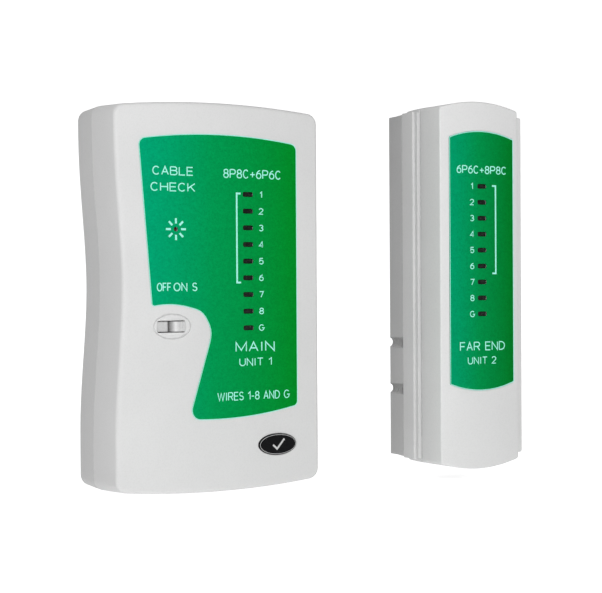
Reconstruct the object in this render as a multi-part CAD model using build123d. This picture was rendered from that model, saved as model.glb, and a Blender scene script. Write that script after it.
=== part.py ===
from build123d import *
import math
import os

os.makedirs("parts", exist_ok=True)

# Frame: +X to the right of the main unit's face, +Z up, the printed faces look towards -Y.
# The origin is the centre of the main unit's flat back. All lengths are in millimetres.

# ---- driving dimensions ----
WALL = 2.0                      # case wall
SPLIT = 15.0                    # the two case halves meet this far behind the face
RUN = 0.15                      # gap beside anything that slides or turns
FIT = 0.05                      # gap beside anything that is seated

MAIN_WIDTH = 58.6
MAIN_DEPTH = 25.5
MAIN_CORNER = 48.5              # half height at the corners of the face
MAIN_RISE = 1.7                 # extra half height at the middle of each arched end
MAIN_WAIST = 2.0                # how far the left side is drawn in
MAIN_WAIST_FROM = -36.0         # the waist runs between these heights
MAIN_WAIST_TO = 44.0
MAIN_WAIST_AT = 2.0             # and is deepest here
MAIN_DRAFT = 0.9                # the face outline is this much shorter than the split outline
MAIN_CORNER_ROUND = 3.0         # rounding of the four corners seen from the front
MAIN_BACK_ROUND = 0.8           # rounding round the back
MAIN_FACE = -MAIN_DEPTH         # y of the face

REMOTE_WIDTH = 26.2
REMOTE_DEPTH = 22.8
REMOTE_SPLIT = 16.2             # its two halves meet this far behind its face
REMOTE_CORNER = 48.0
REMOTE_RISE = 2.1
REMOTE_DRAFT = 0.2
REMOTE_CORNER_ROUND = 0.9
REMOTE_BACK_ROUND = 0.3
REMOTE_BACK_SHORT = 0.5         # its back half is this much shorter at each end
REMOTE_X = 71.4                 # centre of the far-end unit, parted
REMOTE_FACE = -41.0             # y of its face, parted
REMOTE_LIFT = 2.7               # height of its centre above the main unit's, parted

BACK_DRAFT = 0.25               # both back halves taper this much towards the back
MAIN_EDGE_ROUND = 1.0           # rounding round the face
REMOTE_EDGE_ROUND = 0.45
PART_LINE = 0.2                 # chamfer on both halves where they meet

LED_PITCH = 4.35
LED_COUNT = 9
LED_WINDOW = (3.2, 1.5)         # opening in the case for each LED
LABEL_WINDOW = (3.0, 1.3)       # and in the label over it
LED_LENS = (2.84, 1.14)
LED_LENS_FRONT = 0.3            # the lenses start this far behind the face
LED_FOOT = (3.4, 1.6)
LED_FOOT_FRONT = 4.6
MAIN_LED_X = 8.1
MAIN_LED_TOP = 26.8
REMOTE_LED_X = 0.7              # from the far-end unit's centre line
REMOTE_LED_TOP = 27.0

LABEL_THICK = 0.2
LABEL_SINK = 0.12               # depth of the shallow recess the label lies in

RIDGE_STEP = 0.75               # each of the two steps on the far-end unit's left side
RIDGE_FIRST = 9.8               # distance of the first step behind the face
RIDGE_SECOND = 11.0
RIDGE_INSET = (0.5, 0.35)       # the two steps stop this far short of the ends
RIDGE_GROOVE = (0.8, 0.3)       # width and depth of the groove in front of them
RAIL_SEAT = 0.8                 # depth of the groove the side rail sits in
RAIL_PROUD = 2.0                # how far the rail stands out
RAIL_REACH = 46.5               # and its half length
DOCK_GAP = 0.2
DOCK_SIDE = MAIN_WIDTH / 2      # x of the main unit's right side
DOCK_REBATE = 2 * RIDGE_STEP + DOCK_GAP
DOCK_FRONT = 8.6                # where the rebate starts behind the main face
NOTCHES = (-15.8, -28.7)        # heights of the two half-round notches
NOTCH_RADIUS = 1.5
NOTCH_OUT = 0.25                # their centres lie this far outside the ridges' side
NOTCH_RIB = (0.4, 0.25)         # thickness and height of the grip ribs across a notch
NOTCH_RIB_PITCH = 1.1

BOARD_FRONT = 6.2               # front of both boards behind the face
BOARD_THICK = 1.6
BOARD_BACK = BOARD_FRONT + BOARD_THICK

SCREW_RADIUS = 1.0
SCREW_HEAD_RADIUS = 1.9
SCREW_HEAD_THICK = 1.4
PILOT_RADIUS = 1.03
POST_RADIUS = 2.4
COUNTERBORE_RADIUS = 2.15
SCREW_SEAT = 19.5               # the heads sit this far behind the face
REMOTE_SCREW_SEAT = 18.0
MAIN_POSTS = ((-24.0, 42.6), (24.0, 42.6), (-24.2, -44.3), (23.4, -44.3))
REMOTE_POSTS = ((8.6, 18.0), (-8.4, -22.0))

SWITCH_X = -14.05               # centre of the slide switch's opening
SWITCH_Z = -7.25
SWITCH_OPENING = (8.0, 3.05)
SWITCH_POCKET = (15.8, 4.8)     # room behind the opening for the sliding apron
SWITCH_DISH = (10.6, 6.6)       # oval groove pressed round the opening
SWITCH_CAN = (12.8, 5.8)        # outline of the switch's metal can
SWITCH_CAN_FRONT = 2.3          # where it starts behind the face
SWITCH_BASE_FRONT = 5.0
SWITCH_SHEET = 0.3
SWITCH_PIN_PITCH = 2.5
KNOB = (4.1, 2.55)
KNOB_PROUD = 0.55
KNOB_FLANK = (1.5, 1.3)         # width and height of the rounded flank on the knob's left
KNOB_LIP = 0.3                  # chamfer on its right
KNOB_RIBS = 4
KNOB_RIB_PITCH = 0.45
APRON_FRONT = 0.8               # the knob's sliding apron closes the opening this far behind the face
APRON_THICK = 1.0
APRON_HEIGHT = 2.6
APRON_REACH = 3.9               # it reaches this far beyond the knob on both sides
APRON_GROOVE = (0.45, 0.75)     # width and depth of the groove at the foot of the knob's left flank

DOOR_X = 0.3
DOOR_WIDTH = 50.2
DOOR_TOP = -14.6
DOOR_FOOT = -41.8
DOOR_THICK = 1.8
DOOR_SUNK = 0.2
DOOR_CORNER = 1.2
DOOR_TONGUE = 5.0               # half width of the snap tongue above the door
DOOR_HOOKS = (-14.0, 14.0)      # the two hook tabs below it
DOOR_HOOK = 2.5                 # half width of a tab
DOOR_GROOVES = 7                # finger grooves
DOOR_GROOVE_PITCH = 1.5

BATTERY_BODY = (46.4, 17.0, 26.2)
BATTERY_X = -1.4
BATTERY_Z = -28.2
BATTERY_BACK = 22.2             # the battery's back behind the face
BATTERY_SKIN = 0.35
CELL_RADIUS = 4.0

RJ45 = (15.4, 13.2, 17.0)       # width, thickness, length of the housings
RJ45_MOUTH = (11.8, 7.0)
RJ11 = (13.0, 13.2, 17.0)
RJ11_MOUTH = (9.7, 7.0)
MOUTH_LENGTH = 14.2
SHIELD = 0.25
JACK_TOP = 49.0                 # height of the jacks' mouths
RJ45_X = -9.4
RJ11_X = 8.6
CAVITY_OFFSET = -0.6            # the plug cavities lie this far in front of the housings' middle
CONTACT_PITCH = 1.02
CONTACT_THICK = 0.4

PIN_PITCH = 2.54                # legs of the chips
CHIP_BODY = (3.3, 6.4)          # thickness and width
SCREW_LENGTH = 10.0
BEYOND = 60.0                   # farther than any part of the case, for cuts that run right through


# ---- helpers ----
def box(x, y, z):
    """A block from three (low, high) pairs."""
    size = (x[1] - x[0], y[1] - y[0], z[1] - z[0])
    return Pos(x[0], y[0], z[0]) * Box(*size, align=(Align.MIN,) * 3)


def block_at(x, z, size, y0, y1):
    """A block centred on (x, z), its width and height in size, between two depths."""
    half_x = size[0] / 2
    half_z = size[1] / 2
    return box((x - half_x, x + half_x), (y0, y1), (z - half_z, z + half_z))


def peg(x, z, radius, y0, y1):
    """A cylinder along Y between y0 and y1."""
    low = min(y0, y1)
    upright = Cylinder(radius, abs(y1 - y0), align=(Align.CENTER, Align.CENTER, Align.MIN))
    return Pos(x, low, z) * Rot(-90, 0, 0) * upright


def slab(face, y0, y1):
    """A face drawn in X and Z, made solid between y0 and y1."""
    return extrude(Pos(0, y0, 0) * face, amount=y1 - y0, dir=(0, 1, 0))


def flat_point(x, z):
    return Vector(x, z, 0)


def slot_solid(x, z, width, height, y0, y1, radius):
    """A block along Y with rounded corners."""
    outline = Plane.XZ * Rectangle(width, height)
    block = slab(Pos(x, 0, z) * outline, y0, y1)
    return fillet(block.edges().filter_by(Axis.Y), radius)


def save(part, node):
    """Write one node: a single part, or a list of separate ones."""
    parts = part if isinstance(part, list) else [part]
    solids = [solid for piece in parts for solid in piece.solids()]
    export_step(Compound(solids), "parts/" + node + ".step")


# ---- case outlines ----
def case_wire(width, corner, rise, waist, corner_round, y):
    """Outline of a case at depth y: arched ends, straight right side and a waisted left side."""
    half = width / 2
    top = ThreePointArc(flat_point(-half, corner), flat_point(0, corner + rise), flat_point(half, corner))
    right = Line(flat_point(half, corner), flat_point(half, -corner))
    foot = ThreePointArc(flat_point(half, -corner), flat_point(0, -corner - rise), flat_point(-half, -corner))
    if waist:
        start = flat_point(-half, MAIN_WAIST_FROM)
        end = flat_point(-half, MAIN_WAIST_TO)
        low = Line(flat_point(-half, -corner), start)
        draw = Spline(start, flat_point(waist - half, MAIN_WAIST_AT), end, tangents=[(0, 1), (0, 1)])
        high = Line(end, flat_point(-half, corner))
        left = [low, draw, high]
    else:
        left = [Line(flat_point(-half, -corner), flat_point(-half, corner))]
    face = make_face(Wire([top, right, foot] + left))
    for across in (-half, half):
        for up in (-corner, corner):
            vertex = face.vertices().sort_by_distance(flat_point(across, up))[0]
            face = fillet(vertex, corner_round)
    return Pos(0, y, 0) * (Plane.XZ * face.faces()[0].outer_wire())


def case_solid(width, depth, split, corner, rise, waist, draft, corner_round, start, end, shrink, eased):
    """The closed form of a case between two distances behind its face, both on one side of its split.

    An eased form has a small chamfer round its end at the split."""
    stations = [(start, shrink), (end, shrink)]
    if eased and end == split:
        stations[1:] = [(split - PART_LINE, shrink), (split, shrink + PART_LINE)]
    if eased and start == split:
        stations[:1] = [(split, shrink + PART_LINE), (split + PART_LINE, shrink)]
    wires = []
    for behind, inset in stations:
        into_front = max(0.0, 1 - behind / split)
        into_back = max(0.0, (behind - split) / (depth - split))
        taper = BACK_DRAFT * into_back
        half_height = corner + draft * (1 - into_front) - taper - inset
        tightest = max(0.5, corner_round - inset)
        wires.append(case_wire(width - 2 * inset - 2 * taper, half_height, rise, waist, tightest, behind - depth))
    return Solid.make_loft(wires, ruled=True)


def main_form(start, end, shrink=0.0, eased=False):
    return case_solid(MAIN_WIDTH, MAIN_DEPTH, SPLIT, MAIN_CORNER, MAIN_RISE, MAIN_WAIST, MAIN_DRAFT,
                      MAIN_CORNER_ROUND, start, end, shrink, eased)


def remote_form(start, end, shrink=0.0, shorter=0.0, eased=False):
    return case_solid(REMOTE_WIDTH, REMOTE_DEPTH, REMOTE_SPLIT, REMOTE_CORNER - shorter, REMOTE_RISE, 0,
                      REMOTE_DRAFT, REMOTE_CORNER_ROUND, start, end, shrink, eased)


def round_face(solid, face_y, radius):
    """Round the edges that surround the face at face_y."""
    edges = [e for e in solid.edges() if abs(e.center().Y - face_y) < 0.01]
    return fillet(edges, radius)


def led_heights(top):
    return [top - LED_PITCH * i for i in range(LED_COUNT)]


# ---- main unit: case ----
def dock_cut():
    """The stepped rebate along the main unit's right side that takes the far-end unit's ridges."""
    y = MAIN_FACE
    deep = DOCK_SIDE - DOCK_REBATE
    outline = Polyline((DOCK_SIDE + 1, y + DOCK_FRONT - 0.6), (DOCK_SIDE, y + DOCK_FRONT),
                       (deep, y + DOCK_FRONT + 1.2), (deep, 1.0), (DOCK_SIDE + 1, 1.0), close=True)
    return extrude(Pos(0, 0, -BEYOND) * make_face(outline), amount=2 * BEYOND, dir=(0, 0, 1))


def dock_ribs():
    """Half-round ribs in the rebate that the far-end unit's notches close over."""
    x = DOCK_SIDE - DOCK_REBATE
    ribs = []
    for height in NOTCHES:
        rib = peg(x - 0.55, height, NOTCH_RADIUS - 0.2, MAIN_FACE + SPLIT + 1.2, -2.0)
        ribs.append(rib)
    return ribs


def jack_cuts(y_centre, grow):
    """Room for the two jacks through the top end."""
    cuts = []
    for x, size, wrap in ((RJ45_X, RJ45, SHIELD), (RJ11_X, RJ11, 0)):
        half = size[0] / 2 + wrap + grow
        front = y_centre - size[1] / 2 - grow
        back = y_centre + size[1] / 2 + wrap + grow
        cuts.append(box((x - half, x + half), (front, back), (30, BEYOND)))
    return cuts


def posts(places, y0, y1, radius):
    return [peg(x, z, radius, y0, y1) for x, z in places]


JACK_Y = MAIN_FACE + BOARD_BACK + RJ45[1] / 2 + FIT


def main_front_shell():
    y = MAIN_FACE
    shell = round_face(main_form(0, SPLIT, eased=True), y, MAIN_EDGE_ROUND)
    shell -= dock_cut()
    hollow = main_form(WALL, SPLIT + 0.1, WALL)
    keep = box((-BEYOND, DOCK_SIDE - DOCK_REBATE - WALL), (y, 0), (-BEYOND, BEYOND))
    front_keep = box((-BEYOND, BEYOND), (y, y + DOCK_FRONT - WALL), (-BEYOND, BEYOND))
    shell -= hollow & (keep + front_keep)
    shell += [p & main_form(1, SPLIT, 0.5) for p in posts(MAIN_POSTS, y + 1, y + SPLIT, POST_RADIUS)]
    shell -= posts(MAIN_POSTS, y + 4, y + SPLIT + 1, PILOT_RADIUS)
    shell -= slab(main_label_face(), y - 1, y + LABEL_SINK)
    for height in led_heights(MAIN_LED_TOP):
        shell -= slot_solid(MAIN_LED_X, height, *LED_WINDOW, y - 1, y + 4, 0.4)
    shell -= peg(*POWER_LED_AT, POWER_LED_RADIUS + 0.2, y - 1, y + 4)
    shell -= slot_solid(SWITCH_X, SWITCH_Z, *SWITCH_OPENING, y - 1, y + 4, 0.6)
    shell -= switch_dish()
    shell -= block_at(SWITCH_X, SWITCH_Z, SWITCH_POCKET, y + APRON_FRONT - RUN, y + 4)
    shell -= Pos(BADGE_AT[0], y, BADGE_AT[1]) * badge_plate(0.3, 0.15)
    shell -= jack_cuts(JACK_Y, 0.2)
    return shell


def switch_dish():
    """Shallow oval groove round the switch opening."""
    width, height = SWITCH_DISH
    groove = 0.35
    outer = Plane.XZ * Ellipse(width / 2, height / 2)
    inner = Plane.XZ * Ellipse(width / 2 - groove, height / 2 - groove)
    ring = slab(outer - inner, MAIN_FACE - 1, MAIN_FACE + 0.3)
    return Pos(-13.8, 0, SWITCH_Z) * ring


def main_back_shell():
    y = MAIN_FACE
    shell = round_face(main_form(SPLIT, MAIN_DEPTH, eased=True), 0, MAIN_BACK_ROUND)
    shell -= dock_cut()
    hollow = main_form(SPLIT - 0.1, MAIN_DEPTH - WALL, WALL)
    shell -= hollow & box((-BEYOND, DOCK_SIDE - DOCK_REBATE - WALL), (y, 0), (-BEYOND, BEYOND))
    shell += dock_ribs()
    room = main_form(SPLIT, MAIN_DEPTH - 0.6, 0.5)
    shell += [p & room for p in posts(MAIN_POSTS, y + SPLIT, y + MAIN_DEPTH, 3.0)]
    shell -= posts(MAIN_POSTS, y + SPLIT - 1, y + MAIN_DEPTH, SCREW_RADIUS + 0.15)
    shell -= posts(MAIN_POSTS, y + SCREW_SEAT, 1.0, COUNTERBORE_RADIUS)
    half = DOOR_WIDTH / 2 + RUN
    shell -= box((DOOR_X - half, DOOR_X + half), (-WALL - 3, 1), (DOOR_FOOT - RUN, DOOR_TOP + RUN))
    half = DOOR_TONGUE + 0.2
    shell -= box((DOOR_X - half, DOOR_X + half), (-WALL - 3, 1), (DOOR_TOP, DOOR_TOP + 2.4))
    shell -= jack_cuts(JACK_Y, 0.2)
    return shell


def battery_door():
    """Cover that tilts out about its lower edge: two hook tabs below and a snap tongue above."""
    half = DOOR_WIDTH / 2
    back = -DOOR_SUNK
    panel = box((DOOR_X - half, DOOR_X + half), (back - DOOR_THICK, back), (DOOR_FOOT, DOOR_TOP))
    panel = fillet(panel.edges().filter_by(Axis.Y), DOOR_CORNER)
    panel = fillet(panel.faces().sort_by(Axis.Y)[-1].edges(), 0.25)
    tongue = (DOOR_X - DOOR_TONGUE, DOOR_X + DOOR_TONGUE)
    panel += box(tongue, (back - DOOR_THICK, back - 0.5), (DOOR_TOP - 1, DOOR_TOP + 2.1))
    inner = -WALL - 1.2
    for x in DOOR_HOOKS:
        tab = (x - DOOR_HOOK, x + DOOR_HOOK)
        neck = box(tab, (inner, -WALL + 0.2), (DOOR_FOOT + 0.3, DOOR_FOOT + 1.6))
        hook = box(tab, (inner, -WALL - RUN), (DOOR_FOOT - 1.4, DOOR_FOOT + 1.6))
        panel += [neck, hook]
    for i in range(DOOR_GROOVES):
        z = DOOR_TOP - 3.0 - DOOR_GROOVE_PITCH * i
        panel -= Pos(DOOR_X, back, z) * Rot(0, 90, 0) * Cylinder(0.35, 16.0 - 1.4 * i)
    return panel


# ---- main unit: face ----
POWER_LED_AT = (-12.6, 17.5)
POWER_LED_RADIUS = 0.5
BADGE_AT = (16.5, -38.85)
BADGE = (5.6, 2.8)              # its half width and half height


def main_label_face():
    """The main label: arched top and bottom, and a left edge that steps in round the switch."""
    points = {
        "top_left": (-22.9, 40.3), "top_mid": (1.0, 42.1), "top_right": (22.7, 40.3),
        "foot_right": (22.7, -28.8), "foot_mid": (4.0, -31.4), "foot_left": (-9.3, -31.2),
        "neck": (-3.6, -12.5), "bulge": (-3.05, -8.2), "turn": (-4.8, -4.6), "shoulder": (-8.5, -2.65),
        "ledge_mid": (-13.8, -1.75), "ledge_left": (-19.4, -2.2),
    }
    spot = {name: flat_point(*xz) for name, xz in points.items()}
    edges = [
        ThreePointArc(spot["top_left"], spot["top_mid"], spot["top_right"]),
        Line(spot["top_right"], spot["foot_right"]),
        ThreePointArc(spot["foot_right"], spot["foot_mid"], spot["foot_left"]),
        Line(spot["foot_left"], spot["neck"]),
        Spline(spot["neck"], spot["bulge"], spot["turn"], spot["shoulder"],
               tangents=[(0.29, 0.96), (-0.97, 0.24)]),
        ThreePointArc(spot["shoulder"], spot["ledge_mid"], spot["ledge_left"]),
        Line(spot["ledge_left"], spot["top_left"]),
    ]
    face = make_face(Wire(edges))
    corners = {"top_left": 2.0, "top_right": 2.0, "foot_right": 1.5, "foot_left": 2.6, "ledge_left": 0.8}
    for name, radius in corners.items():
        vertex = face.vertices().sort_by_distance(spot[name])[0]
        face = fillet(vertex, radius)
    return Plane.XZ * face


def main_label():
    y = MAIN_FACE + LABEL_SINK
    label = slab(main_label_face(), y - LABEL_THICK, y)
    for height in led_heights(MAIN_LED_TOP):
        label -= slot_solid(MAIN_LED_X, height, *LABEL_WINDOW, y - 1, y + 1, 0.45)
    label -= peg(*POWER_LED_AT, POWER_LED_RADIUS + 0.1, y - 1, y + 1)
    return label


def badge_plate(thick, grow):
    """An oval plate that is thick towards -Y, centred on the origin."""
    return slab(Plane.XZ * Ellipse(BADGE[0] + grow, BADGE[1] + grow), -thick, thick)


def badge():
    """Domed oval badge: a lens of resin over a thin rim."""
    oval = slab(Plane.XZ * Ellipse(*BADGE), -0.35, 0.25)
    dome = fillet(oval.faces().sort_by(Axis.Y)[0].edges(), 0.3)
    return Pos(BADGE_AT[0], MAIN_FACE, BADGE_AT[1]) * dome


# ---- boards and what they carry ----
def board(width_low, width_high, z_low, z_high, face_y, holes):
    plate = box((width_low, width_high), (face_y + BOARD_FRONT, face_y + BOARD_BACK), (z_low, z_high))
    plate = fillet(plate.edges().filter_by(Axis.Y), 1.0)
    plate -= [peg(x, z, POST_RADIUS + 0.3, face_y, 0) for x, z in holes]
    return plate


def main_pcb():
    return board(-24.2, 25.2, -13.4, 46.0, MAIN_FACE, MAIN_POSTS)


def led_row(x, top, face_y):
    """Nine flat LEDs: a window block on a wider foot, standing on the board."""
    leds = []
    for height in led_heights(top):
        lens = block_at(x, height, LED_LENS, face_y + LED_LENS_FRONT, face_y + LED_FOOT_FRONT)
        foot = block_at(x, height, LED_FOOT, face_y + LED_FOOT_FRONT, face_y + BOARD_FRONT)
        leds.append(lens + foot)
    return leds


def power_led():
    x, z = POWER_LED_AT
    y = MAIN_FACE
    lamp = peg(x, z, POWER_LED_RADIUS, y + 0.4, y + 4.4)
    lamp = fillet(lamp.edges().sort_by(Axis.Y)[0], 0.25)
    return lamp + peg(x, z, 1.5, y + 4.4, y + BOARD_FRONT)


def switch_frame():
    """Folded metal can of the slide switch, open towards the board."""
    front = MAIN_FACE + SWITCH_CAN_FRONT
    back = MAIN_FACE + SWITCH_BASE_FRONT
    inside = [size - 2 * SWITCH_SHEET for size in SWITCH_CAN]
    can = block_at(SWITCH_X, SWITCH_Z, SWITCH_CAN, front, back)
    can = fillet(can.edges().filter_by(Axis.Y), 0.5)
    can -= block_at(SWITCH_X, SWITCH_Z, inside, front + SWITCH_SHEET, back + 1)
    can -= block_at(SWITCH_X, SWITCH_Z, SWITCH_OPENING, front - 1, back)
    return can


def switch_base():
    front = MAIN_FACE + SWITCH_BASE_FRONT
    base = block_at(SWITCH_X, SWITCH_Z, SWITCH_CAN, front, MAIN_FACE + BOARD_FRONT)
    base -= block_at(SWITCH_X, SWITCH_Z, (11.2, 4.8), front - 1, front + 0.4)
    return base


def switch_pins():
    back = MAIN_FACE + BOARD_BACK
    return [peg(SWITCH_X + SWITCH_PIN_PITCH * i, SWITCH_Z, 0.4, back, back + 1.6) for i in (-1, 0, 1)]


def switch_knob():
    """Slide knob at its right-hand stop: ribbed cap, sliding apron, and a shoe inside the metal can."""
    y = MAIN_FACE
    width, height = KNOB
    x = SWITCH_X + SWITCH_OPENING[0] / 2 - RUN - width / 2
    top = y - KNOB_PROUD
    foot = y + 4.0
    left = x - width / 2
    right = x + width / 2
    flank_x, flank_y = KNOB_FLANK
    lean = math.sqrt(0.5)
    flank = ThreePointArc((left, top + flank_y), (left + flank_x * (1 - lean), top + flank_y * (1 - lean)),
                          (left + flank_x, top))
    rest = Polyline((left + flank_x, top), (right - KNOB_LIP, top), (right, top + KNOB_LIP), (right, foot),
                    (left, foot), (left, top + flank_y))
    profile = make_face(Wire([flank] + list(rest.edges())))
    stem = extrude(Pos(0, 0, SWITCH_Z - height / 2) * profile, amount=height, dir=(0, 0, 1))
    for i in range(KNOB_RIBS):
        rib_x = right - 0.6 - KNOB_RIB_PITCH * i
        stem -= block_at(rib_x, SWITCH_Z, (0.25, height + 1), top - 1, top + 0.2)
    front = y + APRON_FRONT
    apron = block_at(x, SWITCH_Z, (width + 2 * APRON_REACH, APRON_HEIGHT), front, front + APRON_THICK)
    groove_width, groove_depth = APRON_GROOVE
    apron -= block_at(left - groove_width / 2, SWITCH_Z, (groove_width, APRON_HEIGHT + 1), front - 1,
                      front + groove_depth)
    shoe = block_at(x, SWITCH_Z, (5.0, 4.6), y + 2.9, y + 4.8)
    return stem + apron + shoe


# ---- jacks ----
def jack_housing(size, mouth, up):
    """Moulded jack, mouth towards +Z when up is 1: plug cavity, latch step and rear wire room."""
    width, thick, length = size
    body = Pos(0, 0, -length / 2) * Box(width, thick, length)
    low = CAVITY_OFFSET - mouth[1] / 2
    body -= box((-mouth[0] / 2, mouth[0] / 2), (low, low + mouth[1]), (-MOUTH_LENGTH, 1))
    latch = mouth[0] * 0.52
    body -= box((-latch / 2, latch / 2), (low - 1.7, low + 0.1), (-MOUTH_LENGTH, 1))
    deep = mouth[0] * 0.3
    body -= box((-deep / 2, deep / 2), (low - 2.9, low), (-MOUTH_LENGTH, 1))
    return body if up > 0 else Rot(0, 180, 0) * body


def jack_contacts(count, mouth, up):
    """Sprung wires: each runs along the back of the plug cavity and folds forward into it."""
    wires = []
    top = CAVITY_OFFSET + mouth[1] / 2
    for i in range(count):
        x = CONTACT_PITCH * (i - (count - 1) / 2)
        path = [(top - 0.02, -1.4), (top - 1.7, -11.0), (top - 1.35, -11.0), (top - 0.02, -3.2)]
        outline = Polyline(*[(y, z) for y, z in path], close=True)
        blade = extrude(Plane.YZ * make_face(outline), amount=CONTACT_THICK / 2, both=True)
        wires.append(Pos(x, 0, 0) * blade)
    return wires if up > 0 else [Rot(0, 180, 0) * w for w in wires]


def jack_shield(size):
    """Sheet-metal wrap round the jack's two sides and its back."""
    width, thick, length = size
    outer = Pos(0, SHIELD / 2, -length / 2) * Box(width + 2 * SHIELD, thick + SHIELD, length)
    inner = Pos(0, -1, -length / 2) * Box(width, thick + 2, length + 2)
    wrap = outer - inner
    for x in (-1, 1):
        tab = box((-0.9, 0.9), (thick / 2 - 0.5, thick / 2 + SHIELD + 1), (-6.2, -2.4))
        wrap -= Pos(x * width / 3.4, 0, 0) * tab
    return wrap


def place_all(parts, x, y, z):
    return [Pos(x, y, z) * p for p in parts]


# ---- electronics ----
def chip(x, z, rows, y_board):
    """A dual-in-line chip behind the board: body with end notch, and legs on both sides."""
    thick, deep = CHIP_BODY
    width = PIN_PITCH * rows + 0.6
    body = block_at(x, z, (width, deep), y_board + 0.5, y_board + 0.5 + thick)
    body = chamfer(body.edges().filter_by(Axis.X).group_by(Axis.Y)[-1], 0.5)
    body -= peg(x - width / 2, z, 0.9, y_board + 3.2, y_board + 5)
    for i in range(rows):
        leg_x = x + PIN_PITCH * (i - (rows - 1) / 2)
        for side in (-1, 1):
            body += block_at(leg_x, z + side * 3.65, (0.7, 0.5), y_board, y_board + 1.9)
            body += block_at(leg_x, z + side * 3.5, (0.7, 0.8), y_board + 1.6, y_board + 1.9)
    return body


def chip_resistors(places, y_front, facing):
    """Small block resistors with a thinner middle, soldered on a board."""
    parts = []
    for x, z in places:
        low = min(y_front, y_front + 0.8 * facing)
        block = box((x - 1.6, x + 1.6), (low, low + 0.8), (z - 0.8, z + 0.8))
        middle_y = low if facing < 0 else low + 0.6
        block -= box((x - 1.0, x + 1.0), (middle_y, middle_y + 0.2), (z - 1, z + 1))
        parts.append(block)
    return parts


def main_capacitors():
    y = MAIN_FACE + BOARD_BACK
    parts = []
    for x, z in ((-18.0, 18.0), (18.6, 18.0)):
        can = peg(x, z, 2.5, y, y + 8.0)
        can = fillet(can.edges().sort_by(Axis.Y)[-1], 0.4)
        can -= [box((x - 1.6, x + 1.6), (y + 7.7, y + 9), (z - 0.15, z + 0.15)),
                box((x - 0.15, x + 0.15), (y + 7.7, y + 9), (z - 1.6, z + 1.6))]
        parts.append(can)
    return parts


def remote_diodes():
    """Glass diodes lying behind the far-end board, each with a cathode end cap."""
    y = REMOTE_FACE + BOARD_BACK + 1.0
    parts = []
    for i in range(8):
        z = 19.0 - 4.0 * i
        diode = Pos(REMOTE_X + 1.5, y, z) * Rot(0, 90, 0) * Cylinder(0.9, 3.6)
        for side in (-1, 1):
            x = REMOTE_X + 1.5 + side * 1.8
            far = x + side * 2.0
            diode += box((min(x, far), max(x, far)), (y - 0.2, y + 0.2), (z - 0.2, z + 0.2))
            diode += box((far - 0.2, far + 0.2), (y - 1.0, y + 0.2), (z - 0.2, z + 0.2))
        parts.append(diode)
    return parts


# ---- battery ----
BATTERY_Y = MAIN_FACE + BATTERY_BACK - BATTERY_BODY[1] / 2
BATTERY_END = BATTERY_X + BATTERY_BODY[0] / 2


def battery_can():
    """Steel can of the battery, open at the terminal end."""
    can = Pos(BATTERY_X, BATTERY_Y, BATTERY_Z) * Box(*BATTERY_BODY)
    can = fillet(can.edges().filter_by(Axis.X), 2.0)
    can = fillet(can.faces().sort_by(Axis.X)[0].edges(), 0.3)
    inner = [size - 2 * BATTERY_SKIN for size in BATTERY_BODY]
    room = Pos(BATTERY_X + 2 * BATTERY_SKIN, BATTERY_Y, BATTERY_Z) * Box(*inner)
    return can - fillet(room.edges().filter_by(Axis.X), 2.0 - BATTERY_SKIN)


def battery_cells():
    """The six small round cells inside the can."""
    cells = []
    for i in (-1, 0, 1):
        for j in (-0.5, 0.5):
            cell = Cylinder(CELL_RADIUS, BATTERY_BODY[0] - 4.0)
            spot = Pos(BATTERY_X - 0.5, BATTERY_Y + 8.12 * j, BATTERY_Z + 8.4 * i)
            cells.append(spot * Rot(0, 90, 0) * fillet(cell.edges(), 0.4))
    return cells


def stud(z, radius):
    return Pos(BATTERY_END + 1.1, BATTERY_Y, BATTERY_Z + z) * Rot(0, 90, 0) * Cylinder(radius, 1.4)


def battery_terminals():
    plate = Pos(BATTERY_END + 0.2, BATTERY_Y, BATTERY_Z) * Box(0.4, 16.4, 25.4)
    plate = fillet(plate.edges().filter_by(Axis.X), 1.8)
    return plate + [stud(-6.35, 2.6), stud(6.35, 2.9)]


def battery_snap():
    """Flat press-stud connector with two sockets that sit on the terminals."""
    x = BATTERY_END + 0.6
    snap = Pos(x + 1.1, BATTERY_Y, BATTERY_Z) * Box(2.0, 12.4, 24.0)
    snap = fillet(snap.edges().filter_by(Axis.X), 3.0)
    for z, radius in ((-6.35, 2.7), (6.35, 3.0)):
        snap -= Pos(x + 0.6, BATTERY_Y, BATTERY_Z + z) * Rot(0, 90, 0) * Cylinder(radius, 1.4)
    return snap


def battery_lead(offset_z, bow):
    """Insulated wire from the snap up to the board."""
    start = Vector(BATTERY_END + 1.7, BATTERY_Y - 1.0 + bow, BATTERY_Z + 12.05)
    middle = Vector(BATTERY_END - 2.5 - bow, BATTERY_Y - 2.5 + bow, BATTERY_Z + 17.5 + offset_z)
    end = Vector(16.0 - 2.5 * bow, MAIN_FACE + BOARD_BACK + FIT, BATTERY_Z + 20.0 + offset_z)
    path = Spline(start, middle, end, tangents=[(0, 0, 1), (0, -1, 0)])
    section = Plane(origin=start, z_dir=(0, 0, 1)) * Circle(0.6)
    return sweep(section, path=path)


def battery_foam():
    y = MAIN_FACE + BATTERY_BACK
    pad = box((-16.0, 12.0), (MAIN_FACE + WALL + FIT, y - BATTERY_BODY[1] - FIT), (-36.0, -21.0))
    return fillet(pad.edges().filter_by(Axis.Y), 1.0)


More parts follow.
